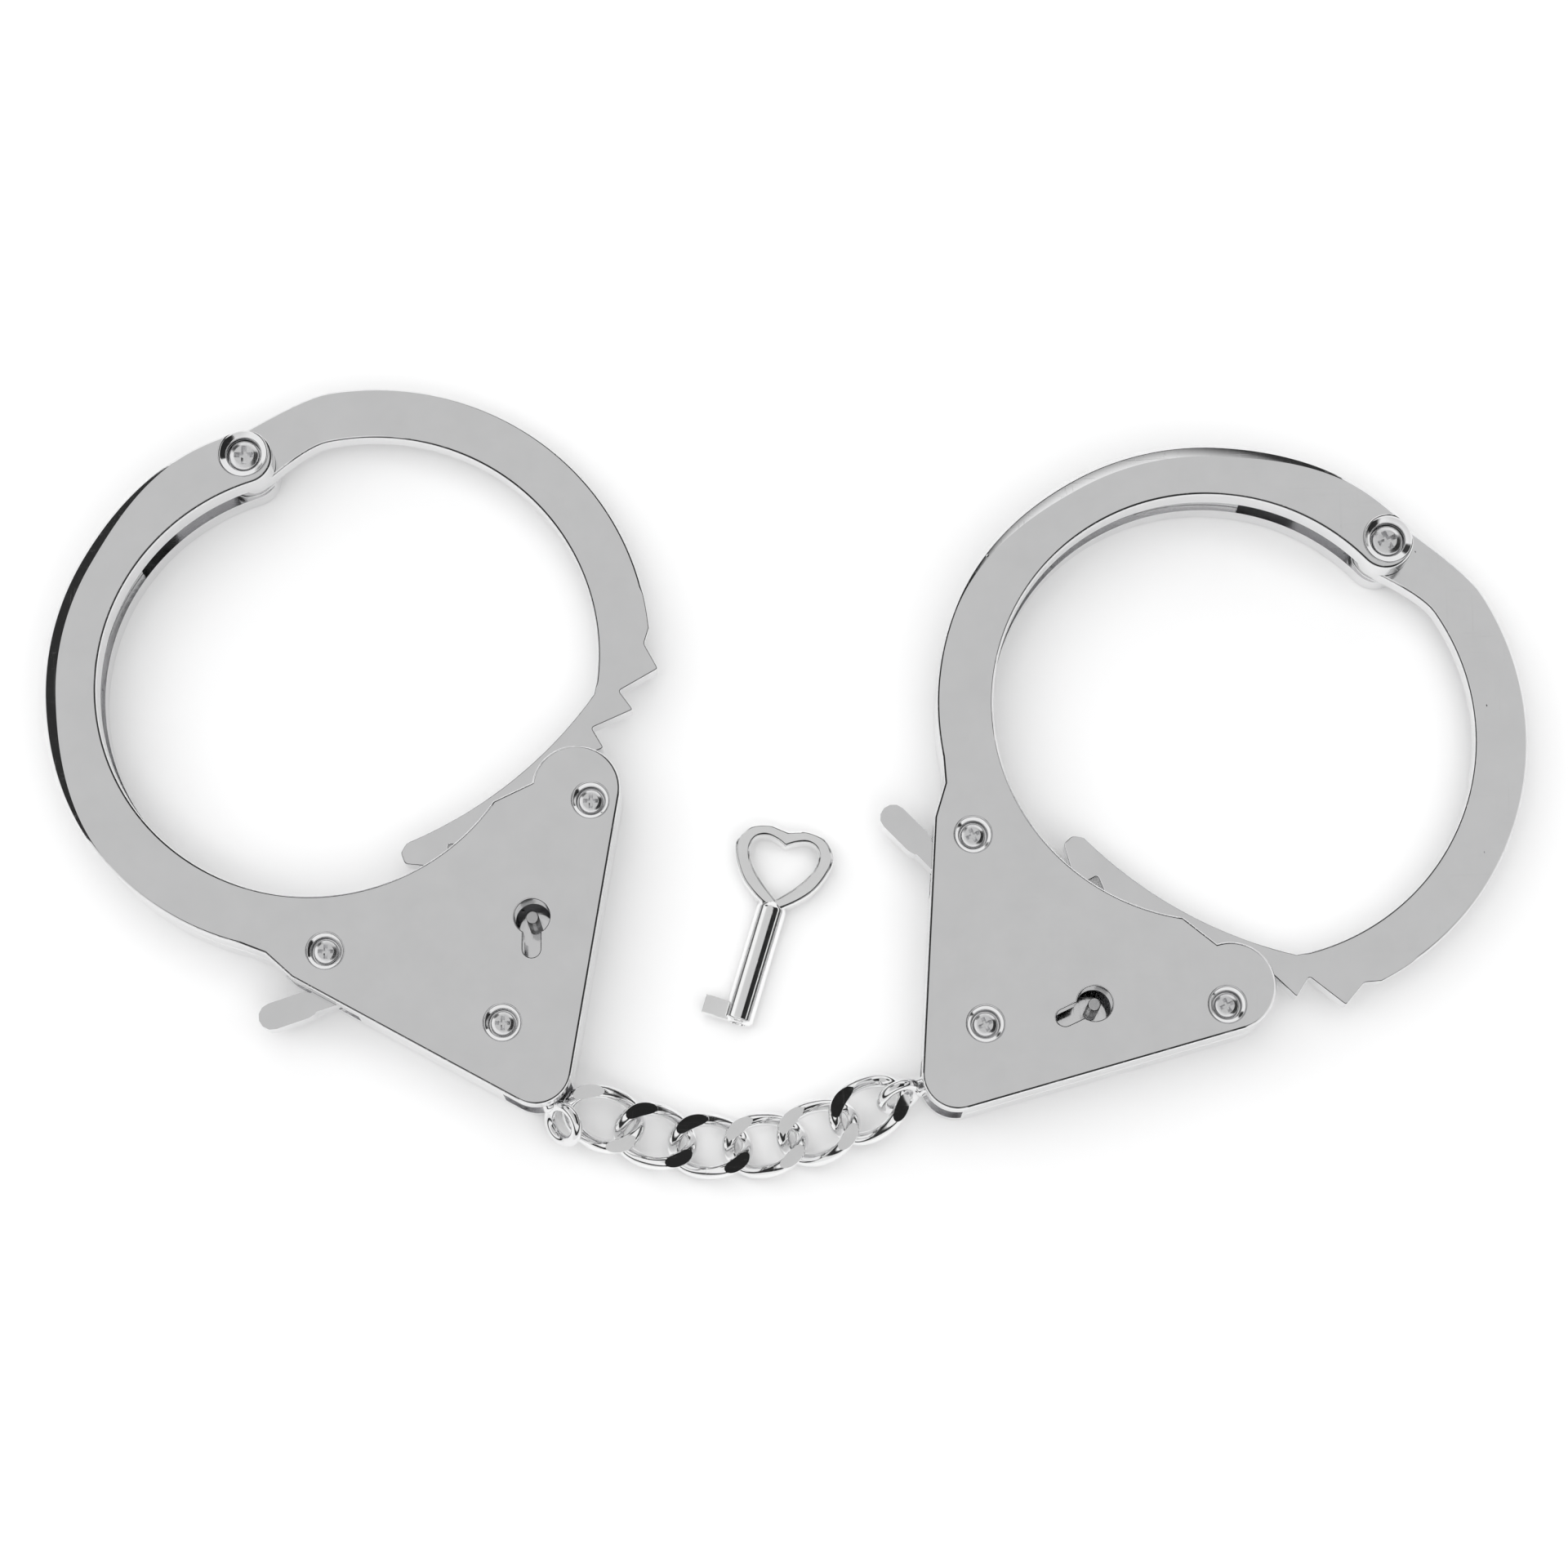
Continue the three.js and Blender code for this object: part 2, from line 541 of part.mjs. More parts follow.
cuff('left', LEFT_CUFF);
cuff('right', RIGHT_CUFF);
chain();
const keyMesh = piece(handcuffs, 'key', key(), NICKEL);
keyMesh.rotation.z = rad(KEY.tilt);
keyMesh.position.set(KEY.x, KEY.y, KEY.shank);

// Centre the layout in plan over the origin.
handcuffs.updateMatrixWorld(true);
const middle = new THREE.Box3().setFromObject(handcuffs, true).getCenter(new THREE.Vector3());
handcuffs.position.set(-middle.x, -middle.y, 0);

export default handcuffs;
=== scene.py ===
"""Looks for the pair of chain handcuffs and their key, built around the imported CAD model.

Shapes are worked out in millimetres, each cuff in its own frame with the arm's pivot at the origin,
and are then placed in metres in the CAD frame.
"""

import math

import bmesh
import bpy
import numpy as np
from mathutils import Matrix, Vector


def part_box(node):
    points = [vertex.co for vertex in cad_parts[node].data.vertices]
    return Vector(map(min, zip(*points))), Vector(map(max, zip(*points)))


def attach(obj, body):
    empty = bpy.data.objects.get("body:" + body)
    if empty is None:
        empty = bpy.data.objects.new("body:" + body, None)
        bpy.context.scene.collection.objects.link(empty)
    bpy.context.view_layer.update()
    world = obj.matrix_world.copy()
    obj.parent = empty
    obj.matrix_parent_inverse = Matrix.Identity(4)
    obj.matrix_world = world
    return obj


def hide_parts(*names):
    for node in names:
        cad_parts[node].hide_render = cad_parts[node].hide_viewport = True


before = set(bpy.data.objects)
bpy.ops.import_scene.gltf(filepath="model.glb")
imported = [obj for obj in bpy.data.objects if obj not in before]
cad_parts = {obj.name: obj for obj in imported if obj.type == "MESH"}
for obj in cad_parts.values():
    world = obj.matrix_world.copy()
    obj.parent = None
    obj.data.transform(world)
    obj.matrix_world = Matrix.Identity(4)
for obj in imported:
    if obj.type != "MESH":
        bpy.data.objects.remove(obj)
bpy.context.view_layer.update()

MM = 0.001
THICKNESS = 12.0
SLOT_LOW, SLOT_HIGH = 4.0, 8.0                  # the space between the two face plates
PARTING = (5.85, 6.15)                          # top of the back shell, bottom of the front one
WALL = 1.4
# The double bow, from the pivot's rounded end round to the housing; its back is solid behind a groove.
BOW = (11.1, -33.7)
BOW_INNER, BOW_OUTER = 30.9, 38.9
PIVOT_ANGLE, HOUSING_ANGLE = 108.2, 256.0
RIM_START, RIM_END = 130.0, 38.0
FILL_DEPTH, FILL_START, FILL_END = 6.6, 145.0, 235.0
# The housing: its lobe beside the arm, its tip at the chain, the bow's foot on it, and the way that
# its two straight sides face.
LOBE, LOBE_R = (48.3, -49.2), 6.25
TIP, TIP_R = (43.2, -89.0), 5.0
FLANK = [(5.2, -72.8), (9.0, -76.2)]
LOWER_NORMAL, RIGHT_NORMAL = -120.0, -8.6
HOUSING_SCREWS = [(50.4, -50.9), (13.6, -72.4), (38.5, -82.5)]
PAWL_PIN, LEVER_PIN, KEY_POST = (49.6, -57.0), (19.0, -76.5), (42.4, -67.5)
KEYHOLE_R, KEYHOLE_SLOT, KEYHOLE_REACH, KEYHOLE_EDGE = 2.5, 1.25, 4.6, (0.25, 0.3)
PIN_HOLE_R, PIN_HOLE_DEPTH = 1.3, 1.8
# Room for the swivel's stem, as angles about its ball, and for the release lever.
BALL = (41.8, -88.0)
SWEEP_FROM, SWEEP_TO, SWEEP_REACH, RELIEF_REACH, RELIEF_START = -128, -22, 16, 11, 4.2
LEVER_SLOT = [(7.2, -74.6), (8.4, -80.2), (19.6, -85.6), (17.0, -78.0)]
# The arm, and its teeth as angles about the pivot.
ARM_CENTRE, ARM_INNER, ARM_OUTER = (18.4, -29.0), 32.6, 40.1
ARM_LOW, ARM_HIGH = 4.3, 7.7
ARM_EYE, ARM_HOLE = 4.2, 2.5
ARM_EDGE, TOOTH_EDGE, TOOTHED_FROM, TOOTH_SOFTNESS = 0.32, 0.14, 60.5, 0.42
TOOTH_COUNT, TOOTH_FIRST, TOOTH_PITCH, TOOTH_SLOPE = 7, -27.3, 5.95, 4.9
TOOTH_TIP, TOOTH_ROOT, TOOTH_INNER = 67.1, 63.9, 61.2
# How each cuff, its arm and its swivel are turned.
TURN = {"left": 0.0, "right": -64.8}
CLOSE = {"left": 0.0, "right": -4.3}
STEM = {"left": -57.5, "right": -89.3}
SPIN = {"left": 50.0, "right": 115.0}
# How a face turns into its side wall, as (share of the width, share of the depth): a small rounding
# above the wall and then a flat chamfer up to the face. Along the back of the bow it is much broader.
EDGE, EDGE_DEPTH = 0.35, 0.48
CROWN = [(0, 1), (0.03, 0.8), (0.10, 0.62), (0.22, 0.47), (0.36, 0.36), (1, 0)]
CROWN_START, CROWN_END, CROWN_RISE, CROWN_FALL = 118, 224, 34, 40
CROWN_WIDTH, CROWN_DEPTH = 1.95, 1.92
PARTING_EDGE = (0.2, 0.2)
# Turned shapes, as (radius, height) or (radius, height, own rounding).
PIVOT_WELL = [
    (0, 7), (1.6, 7), (1.6, 9.5), (2.45, 9.5), (2.45, 11.35, 0.2), (3.4, 11.72, 0.3), (3.7, 12.03),
    (3.7, 13), (0, 13),
]
SCREW_WELL = [
    (0, 7), (1.25, 7), (1.25, 10.2), (2.0, 10.2), (2.0, 11.45, 0.15), (2.6, 11.75, 0.2), (2.8, 12.03),
    (2.8, 13), (0, 13),
]
SLEEVE_WELL = [
    (0, -1), (3.6, -1), (3.6, -0.05), (3.3, 0.25, 0.1), (3.3, 1.6), (2.5, 1.6), (2.5, 5), (0, 5),
]
BALL_ROOM = [
    (0, 2.9), (1.2, 3.2), (2.1, 4.0), (2.7, 5.0), (2.9, 6.0), (2.7, 7.0), (2.1, 8.0), (1.2, 8.8), (0, 9.1),
]
PIVOT_SCREW = [
    (0, 4.5), (1.25, 4.5), (1.25, 9.8), (2.2, 9.8), (2.2, 10.85, 0.25), (1.4, 11.1), (0, 11.1),
]
HOUSING_SCREW = [
    (0, 1.6), (0.95, 1.6), (0.95, 10.5), (1.7, 10.5), (1.7, 11.2, 0.2), (1.1, 11.4), (0, 11.4),
]
# The swivel: a ball with a stem and a welded eye.
BALL_R, EYE_AT, EYE_R, EYE_WIRE = 2.6, 9.3, 2.6, 0.8
# A chain link: half its length and width to the wire's middle, how far it is twisted up and down, the
# wire's radius, and the flats cut on it.
LINK_HALF_LENGTH, LINK_HALF_WIDTH, LINK_TWIST, LINK_WIRE = 5.1, 3.65, 1.6, 1.0
FACET_CUT, FACET_LEAN, FACET_REACH = 0.6, 0.03, 3.6
LINK_PITCH = 7.8
# The key: its shank, bit and heart, and where it lies (in metres and degrees).
SHANK, SHANK_TOP = 2.15, 18.4
BIT_REACH, BIT_HIGH, BIT_HALF = 5.3, 2.7, 1.0
HEART_TURN, HEART_MIDDLE, HEART_THICK = 6.0, 20.4, 3.5
# The right half of the key's heart, from its notch over the lobe to its foot.
HEART_OUTER = [
    (0, 28.4), (1.5, 28.75), (2.95, 28.95), (5.4, 28.25), (6.95, 26.2), (7.05, 24.6), (6.3, 22.4),
    (5.2, 20.5), (3.8, 19.05), (2.1, 17.75), (0, 16.5),
]
HEART_INNER = [
    (0, 26.1), (1.35, 26.85), (3.0, 27.25), (4.3, 26.7), (4.88, 25.4), (4.6, 23.7), (3.8, 22.25),
    (2.9, 21.15), (1.9, 20.1), (0, 18.4),
]
KEY_PLACE = (-0.006841, -0.035007, -16.5)


# ---- outlines, in millimetres ----
def polar(centre, r, angle):
    a = math.radians(angle)
    return (centre[0] + r * math.cos(a), centre[1] + r * math.sin(a))


def arc(centre, r, start, end, step=3.0):
    count = max(2, math.ceil(abs(end - start) / step))
    return [polar(centre, r, start + (end - start) * i / count) for i in range(count + 1)]


def ring(centre, r, sides=64):
    return [polar(centre, r, 360.0 * i / sides) for i in range(sides)]


def bend(a, corner, b, count=8):
    """The points between a and b on a smooth bend that follows the lines to its corner."""
    shares = [i / count for i in range(1, count)]
    return [
        tuple((1 - t) ** 2 * np.array(a) + 2 * t * (1 - t) * np.array(corner) + t * t * np.array(b))
        for t in shares
    ]


def softened(points, size):
    """An open line of points with its sharp corners rounded off."""
    out = [points[0]]
    for before, here, after in zip(points, points[1:], points[2:]):
        p = np.array(here)
        a, b = np.array(before) - p, np.array(after) - p
        long_a, long_b = np.linalg.norm(a), np.linalg.norm(b)
        if a @ b / (long_a * long_b) < -0.9:
            out.append(here)
            continue
        start, end = p + a / long_a * min(size, 0.4 * long_a), p + b / long_b * min(size, 0.4 * long_b)
        out += [tuple(start), *bend(start, p, end, 4), tuple(end)]
    return out + [points[-1]]


def bar(a, b, half_width):
    along = math.degrees(math.atan2(b[1] - a[1], b[0] - a[0]))
    return arc(a, half_width, along + 90, along + 270, 10) + arc(b, half_width, along - 90, along + 90, 10)


def housing_side(inset):
    """From the bow's foot round the housing to the lobe, set in from the outer wall."""
    return [
        *[(x + inset * 0.6, y + inset * 0.8) for x, y in FLANK],
        *arc(TIP, TIP_R - inset, LOWER_NORMAL, RIGHT_NORMAL, 4),
    ]


def cuff_outline():
    middle = (BOW_INNER + BOW_OUTER) / 2
    cap = polar(BOW, middle, PIVOT_ANGLE)
    return [
        *arc(BOW, BOW_OUTER, PIVOT_ANGLE, HOUSING_ANGLE, 1.5),
        *housing_side(0),
        *arc(LOBE, LOBE_R, RIGHT_NORMAL, 172, 4),
        *arc(BOW, BOW_INNER, -34, PIVOT_ANGLE - 360, 1.5),
        *arc(cap, middle - BOW_INNER, PIVOT_ANGLE - 180, PIVOT_ANGLE, 5)[1:-1],
    ]


def slot_outline():
    """The space between the two face plates: bounded by the side wall, open on the wrist's side."""
    middle = (BOW_INNER + BOW_OUTER) / 2
    cap = polar(BOW, middle, PIVOT_ANGLE)
    clear = 1.5
    return [
        *arc(BOW, BOW_OUTER - WALL, RIM_START, FILL_START, 1.5),
        *arc(BOW, BOW_OUTER - FILL_DEPTH, FILL_START, FILL_END, 1.5),
        *arc(BOW, BOW_OUTER - WALL, FILL_END, HOUSING_ANGLE, 1.5),
        *housing_side(WALL),
        *arc(LOBE, LOBE_R - WALL, RIGHT_NORMAL, RIM_END, 4),
        *arc(LOBE, LOBE_R + clear, RIM_END, 150, 6),
        *arc(BOW, BOW_INNER - clear, -34, PIVOT_ANGLE - 360, 3),
        *arc(cap, middle - BOW_INNER + clear, PIVOT_ANGLE - 180, PIVOT_ANGLE, 10)[1:-1],
        *arc(BOW, BOW_OUTER + clear, PIVOT_ANGLE, RIM_START, 3),
    ]


# ---- solids: lists of vertices and faces, in millimetres ----
def inset_by(outline, amount):
    """The outline moved inwards by an amount, which may differ from point to point."""
    p = np.asarray(outline, float)
    before, after = p - np.roll(p, 1, 0), np.roll(p, -1, 0) - p
    before /= np.linalg.norm(before, axis=1)[:, None]
    after /= np.linalg.norm(after, axis=1)[:, None]
    n0 = np.c_[-before[:, 1], before[:, 0]]
    n1 = np.c_[-after[:, 1], after[:, 0]]
    share = np.maximum(1 + (n0 * n1).sum(1), 0.35)
    return p + (n0 + n1) / share[:, None] * np.broadcast_to(amount, len(p))[:, None]


def round_profile(steps):
    turns = [math.pi / 2 * k / steps for k in range(steps + 1)]
    return [(1 - math.cos(t), 1 - math.sin(t)) for t in turns]


def edge_rings(outline, face, inwards, size, sign, steps):
    """Rings round one face's softened edge, from the side wall to the face. size is its width and
    depth, and its profile where it isn't plainly round."""
    width, depth = size[:2]
    rings = []
    for inset, down in size[2] if len(size) > 2 else round_profile(steps):
        flat = inset_by(outline, sign * np.asarray(width) * inset)
        height = face + inwards * np.asarray(depth) * down
        rings.append(np.c_[flat, np.broadcast_to(height, len(flat))])
    return rings


def plate(outline, low, high, top=None, bottom=None, steps=4):
    """A plate with rounded edges where a size is given."""
    flat = np.asarray(outline, float)
    lower = [np.c_[flat, np.full(len(flat), low)]]
    upper = [np.c_[flat, np.full(len(flat), high)]]
    if bottom is not None:
        lower = edge_rings(outline, low, 1, bottom, 1, steps)[::-1]
    if top is not None:
        upper = edge_rings(outline, high, -1, top, 1, steps)
    return loft(lower + upper)


def loft(rings):
    n, last = len(rings[0]), len(rings) - 1
    faces = [
        (k * n + i, k * n + (i + 1) % n, (k + 1) * n + (i + 1) % n, (k + 1) * n + i)
        for k in range(last)
        for i in range(n)
    ]
    faces.append(tuple(range(n - 1, -1, -1)))
    faces.append(tuple(range(last * n, last * n + n)))
    return np.concatenate(rings), faces


def flared(outline, low, face, size, steps=4):
    """A cutter whose opening at the face comes out with a rounded edge."""
    rings = edge_rings(outline, face, -1, size, -1, steps)
    flat = np.asarray(outline, float)
    beyond = rings[-1].copy()
    beyond[:, 2] += 1
    return loft([np.c_[flat, np.full(len(flat), low)], *rings, beyond])


def turned(centre, profile, sides=64):
    """A solid of revolution about a vertical axis; its profile starts and ends on the axis."""
    body = [p for p in profile if p[0] > 0]
    verts = [(centre[0], centre[1], profile[0][1])]
    for r, z in body:
        verts += [(x, y, z) for x, y in ring(centre, r, sides)]
    verts.append((centre[0], centre[1], profile[-1][1]))
    end = len(verts) - 1
    faces = []
    for i in range(sides):
        j = (i + 1) % sides
        faces.append((0, 1 + j, 1 + i))
        for k in range(len(body) - 1):
            a, b = 1 + k * sides, 1 + (k + 1) * sides
            faces.append((a + i, a + j, b + j, b + i))
        a = 1 + (len(body) - 1) * sides
        faces.append((a + i, a + j, end))
    return np.array(verts), faces


def rounded(points, r, steps=4):
    """A profile with its corners rounded: points are (radius, height), or (radius, height, own r)."""
    out = [points[0][:2]]
    for before, here, after in zip(points, points[1:], points[2:]):
        size = here[2] if len(here) > 2 else r
        p = np.array(here[:2], float)
        a = np.array(before[:2], float) - p
        b = np.array(after[:2], float) - p
        cut = min(size, np.linalg.norm(a) * 0.45, np.linalg.norm(b) * 0.45)
        if cut < 1e-6:
            out.append(tuple(p))
            continue
        start, end = p + a / np.linalg.norm(a) * cut, p + b / np.linalg.norm(b) * cut
        for k in range(steps + 1):
            t = k / steps
            out.append(tuple((1 - t) ** 2 * start + 2 * t * (1 - t) * p + t * t * end))
    return out + [points[-1][:2]]


# ---- Blender meshes ----
def mesh_object(solid):
    verts, faces = solid
    mesh = bpy.data.meshes.new("work")
    mesh.from_pydata([tuple(v) for v in verts], [], faces)
    bm = bmesh.new()
    bm.from_mesh(mesh)
    bmesh.ops.recalc_face_normals(bm, faces=bm.faces)
    bm.to_mesh(mesh)
    bm.free()
    made = bpy.data.objects.new("work", mesh)
    bpy.context.scene.collection.objects.link(made)
    return made


def drop(made):
    mesh = made.data
    bpy.data.objects.remove(made)
    if mesh.users == 0:
        bpy.data.meshes.remove(mesh)


def baked(made):
    """The object's mesh with its modifiers applied; the object itself goes."""
    bpy.context.view_layer.update()
    graph = bpy.context.evaluated_depsgraph_get()
    mesh = bpy.data.meshes.new_from_object(made.evaluated_get(graph))
    drop(made)
    return mesh


def combine(solid, steps):
    """Applies ("DIFFERENCE" or "UNION", solid) steps to a solid, and returns the mesh."""
    made = mesh_object(solid)
    tools = []
    for operation, other in steps:
        tool = mesh_object(other)
        tool.hide_render = True
        change = made.modifiers.new(operation, "BOOLEAN")
        change.operation = operation
        change.object = tool
        change.solver = "EXACT"
        tools.append(tool)
    mesh = baked(made)
    for tool in tools:
        drop(tool)
    return mesh


def polish(mesh, sharp=24.0):
    """Cleans a mesh, puts it in metres and marks its real edges."""
    bm = bmesh.new()
    bm.from_mesh(mesh)
    bmesh.ops.remove_doubles(bm, verts=bm.verts, dist=1e-4)
    bmesh.ops.dissolve_degenerate(bm, edges=bm.edges, dist=1e-4)
    for face in bm.faces:
        face.smooth = True
    for edge in bm.edges:
        edge.smooth = len(edge.link_faces) == 2 and edge.calc_face_angle(0) < math.radians(sharp)
    bm.to_mesh(mesh)
    bm.free()
    mesh.transform(Matrix.Scale(MM, 4))
    return mesh


def piece(name, mesh, place, body, replaced, slot):
    """Places a mesh as one visible piece, in its metal, on its body."""
    mesh = mesh.copy()
    mesh.transform(place)
    made = bpy.data.objects.new(name, mesh)
    bpy.context.scene.collection.objects.link(made)
    mesh.materials.clear()
    mesh.materials.append(FINISH[slot])
    normals = made.modifiers.new("normals", "WEIGHTED_NORMAL")
    normals.keep_sharp = True
    normals.weight = 50
    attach(made, body)
    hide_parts(*replaced)
    return made


# ---- shells ----
def crown(outline):
    """The outer top edge's rounding: slight all round, and a broad crown along the back of the bow."""
    width = np.full(len(outline), EDGE)
    depth = np.full(len(outline), EDGE_DEPTH)
    for i, (x, y) in enumerate(outline):
        dx, dy = x - BOW[0], y - BOW[1]
        if math.hypot(dx, dy) < BOW_OUTER - 0.05:
            continue
        angle = math.degrees(math.atan2(dy, dx)) % 360
        if CROWN_START < angle < CROWN_END:
            rise = min(1.0, (angle - CROWN_START) / CROWN_RISE, (CROWN_END - angle) / CROWN_FALL)
            share = rise * rise * (3 - 2 * rise)
            width[i] += CROWN_WIDTH * share
            depth[i] += CROWN_DEPTH * share
    return width, depth, CROWN


def mouth(low, high, reach):
    """The room that the swivel's stem sweeps in front of its ball."""
    return plate([BALL, *arc(BALL, reach, SWEEP_FROM, SWEEP_TO, 26.5)], low, high)


def shared_cuts():
    """Room for the swivel and the release lever, cut from both shells."""
    relief = [
        *arc(BALL, RELIEF_REACH, SWEEP_FROM, SWEEP_TO, 3),
        *arc(BALL, RELIEF_START, SWEEP_TO, SWEEP_FROM, 6),
    ]
    return [
        ("DIFFERENCE", mouth(SLOT_LOW - 0.3, SLOT_HIGH + 0.3, SWEEP_REACH)),
        ("DIFFERENCE", plate(relief, SLOT_LOW - 1.1, SLOT_HIGH + 1.1)),
        ("DIFFERENCE", turned(BALL, BALL_ROOM)),
        ("DIFFERENCE", plate(LEVER_SLOT, SLOT_LOW, SLOT_HIGH)),
    ]


def front_shell():
    outline = cuff_outline()
    body = plate(outline, PARTING[1], THICKNESS, crown(outline), PARTING_EDGE, 8)
    cuts = [("DIFFERENCE", plate(slot_outline(), 5, SLOT_HIGH)), *shared_cuts()]
    cuts.append(("DIFFERENCE", turned((0, 0), rounded(PIVOT_WELL, 0.12), 96)))
    for screw in HOUSING_SCREWS:
        cuts.append(("DIFFERENCE", turned(screw, rounded(SCREW_WELL, 0.1))))
    slot = bar(KEY_POST, polar(KEY_POST, KEYHOLE_REACH, -90), KEYHOLE_SLOT)
    for keyhole in (ring(KEY_POST, KEYHOLE_R, 48), slot):
        cuts.append(("DIFFERENCE", flared(keyhole, 7, THICKNESS, KEYHOLE_EDGE)))
    for pin in (PAWL_PIN, LEVER_PIN):
        cuts.append(("DIFFERENCE", plate(ring(pin, PIN_HOLE_R, 32), 7, SLOT_HIGH + PIN_HOLE_DEPTH)))
    return polish(combine(body, cuts))


def back_shell():
    outline = cuff_outline()
    body = plate(outline, 0, PARTING[0], PARTING_EDGE, crown(outline), 8)
    cuts = [("DIFFERENCE", plate(slot_outline(), SLOT_LOW, 7)), *shared_cuts()]
    cuts.append(("DIFFERENCE", turned((0, 0), rounded(SLEEVE_WELL, 0.1), 96)))
    for screw in HOUSING_SCREWS:
        cuts.append(("DIFFERENCE", plate(ring(screw, 1.25, 32), 1.2, 5)))
    for pin, r in ((KEY_POST, 1.2), (PAWL_PIN, PIN_HOLE_R), (LEVER_PIN, PIN_HOLE_R)):
        cuts.append(("DIFFERENCE", plate(ring(pin, r, 32), SLOT_LOW - PIN_HOLE_DEPTH, 5)))
    return polish(combine(body, cuts))


# ---- arm ----
def arm_outline():
    last_root = TOOTH_FIRST - TOOTH_PITCH * (TOOTH_COUNT - 1) - TOOTH_SLOPE
    teeth = []
    for i in reversed(range(TOOTH_COUNT)):
        angle = TOOTH_FIRST - TOOTH_PITCH * i
        teeth += [polar((0, 0), TOOTH_ROOT, angle - TOOTH_SLOPE), polar((0, 0), TOOTH_TIP, angle)]
    eye = arc((0, 0), ARM_EYE, 122, 312, 6)
    inside = arc(ARM_CENTRE, ARM_INNER, 102, -9.7, 1.5)
    outside = arc(ARM_CENTRE, ARM_OUTER, 6, 100, 1.5)
    sharp = [
        *arc((0, 0), TOOTH_INNER, -36, last_root + 1.2, 1.5),
        polar((0, 0), TOOTH_INNER + 1, last_root),
        *teeth,
        (57.6, -27.1),
    ]
    return [
        *eye,
        *bend(eye[-1], (8.8, 2.3), inside[0]),
        *inside,
        *softened([inside[-1], *sharp, outside[0]], TOOTH_SOFTNESS)[1:-1],
        *outside,
        *bend(outside[-1], (7.85, 9.86), eye[0]),
    ]


def swing_arm():
    outline = arm_outline()
    points = np.asarray(outline)
    toothed = np.hypot(points[:, 0], points[:, 1]) > TOOTHED_FROM
    size = np.where(toothed, TOOTH_EDGE, ARM_EDGE)
    edge = (size, 1.3 * size, CROWN)
    body = plate(outline, ARM_LOW, ARM_HIGH, edge, edge)
    return polish(combine(body, [("DIFFERENCE", plate(ring((0, 0), ARM_HOLE), 3, 9))]))


# ---- screws and small parts ----
def cross(centre, size, top, depth):
    """A cross recess that narrows as it goes down."""
    x, y = centre
    narrow, taper, flare = 0.27 * size, 0.55, 1.12
    plus = [
        (narrow, narrow), (narrow, size), (-narrow, size), (-narrow, narrow),
        (-size, narrow), (-size, -narrow), (-narrow, -narrow), (-narrow, -size),
        (narrow, -size), (narrow, -narrow), (size, -narrow), (size, narrow),
    ]
    outline = np.array(plus) + (x, y)
    across, down = outline[:, 0] - x, outline[:, 1] - y
    low = np.c_[x + across * taper, y + down * taper, np.full(12, top - depth)]
    mid = np.c_[outline, np.full(12, top - 0.15)]
    high = np.c_[x + across * flare, y + down * flare, np.full(12, top + 0.4)]
    return loft([low, mid, high])


def pivot_screw():
    body = turned((0, 0), rounded(PIVOT_SCREW, 0.1), 72)
    return polish(combine(body, [("DIFFERENCE", cross((0, 0), 1.35, PIVOT_SCREW[-1][1], 0.9))]))


def housing_screw(at):
    body = turned(at, rounded(HOUSING_SCREW, 0.1), 56)
    return polish(combine(body, [("DIFFERENCE", cross(at, 1.0, HOUSING_SCREW[-1][1], 0.7))]))


def refined(node, width, place):
    """A CAD node's own mesh with its edges rounded, in the frame of its placement."""
    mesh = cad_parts[node].data.copy()
    mesh.transform(place.inverted())
    mesh.transform(Matrix.Scale(1 / MM, 4))
    bm = bmesh.new()
    bm.from_mesh(mesh)
    bmesh.ops.remove_doubles(bm, verts=bm.verts, dist=1e-3)
    bmesh.ops.dissolve_limit(bm, angle_limit=math.radians(1), verts=bm.verts, edges=bm.edges)
    bm.to_mesh(mesh)
    bm.free()
    made = bpy.data.objects.new("work", mesh)
    bpy.context.scene.collection.objects.link(made)
    bevel = made.modifiers.new("bevel", "BEVEL")
    bevel.width = width
    bevel.segments = 2
    bevel.limit_method = "ANGLE"
    bevel.angle_limit = math.radians(40)
    return polish(baked(made))


# ---- swivels and chain ----
def torus(centre, r, wire, spin, sides=24, steps=72):
    verts, faces = [], []
    for i in range(steps):
        a = 2 * math.pi * i / steps
        for j in range(sides):
            b = 2 * math.pi * j / sides
            out = r + wire * math.cos(b)
            x, y, z = out * math.cos(a), out * math.sin(a), wire * math.sin(b)
            y, z = y * math.cos(spin) - z * math.sin(spin), y * math.sin(spin) + z * math.cos(spin)
            verts.append((centre[0] + x, centre[1] + y, centre[2] + z))
            k, m = (i + 1) % steps, (j + 1) % sides
            faces.append((i * sides + j, k * sides + j, k * sides + m, i * sides + m))
    return np.array(verts), faces


def swivel(side):
    """A turned ball and stem with a welded eye."""
    profile = [(0, -BALL_R)]
    profile += [(BALL_R * math.sin(a), -BALL_R * math.cos(a)) for a in np.linspace(0.12, 2.62, 22)]
    profile += rounded([(1.35, 2.4), (1.2, 2.9), (1.15, 5.6), (1.4, 6.6), (1.0, 7.0), (0.9, 7.0)], 0.3)
    profile += [(0, 7.0)]
    verts, faces = turned((0, 0), profile, 48)
    stem = (np.c_[verts[:, 2], verts[:, 0], verts[:, 1]], faces)
    eye = torus((EYE_AT, 0, 0), EYE_R, EYE_WIRE, math.radians(SPIN[side]))
    return polish(combine(stem, [("UNION", eye)]), 50)


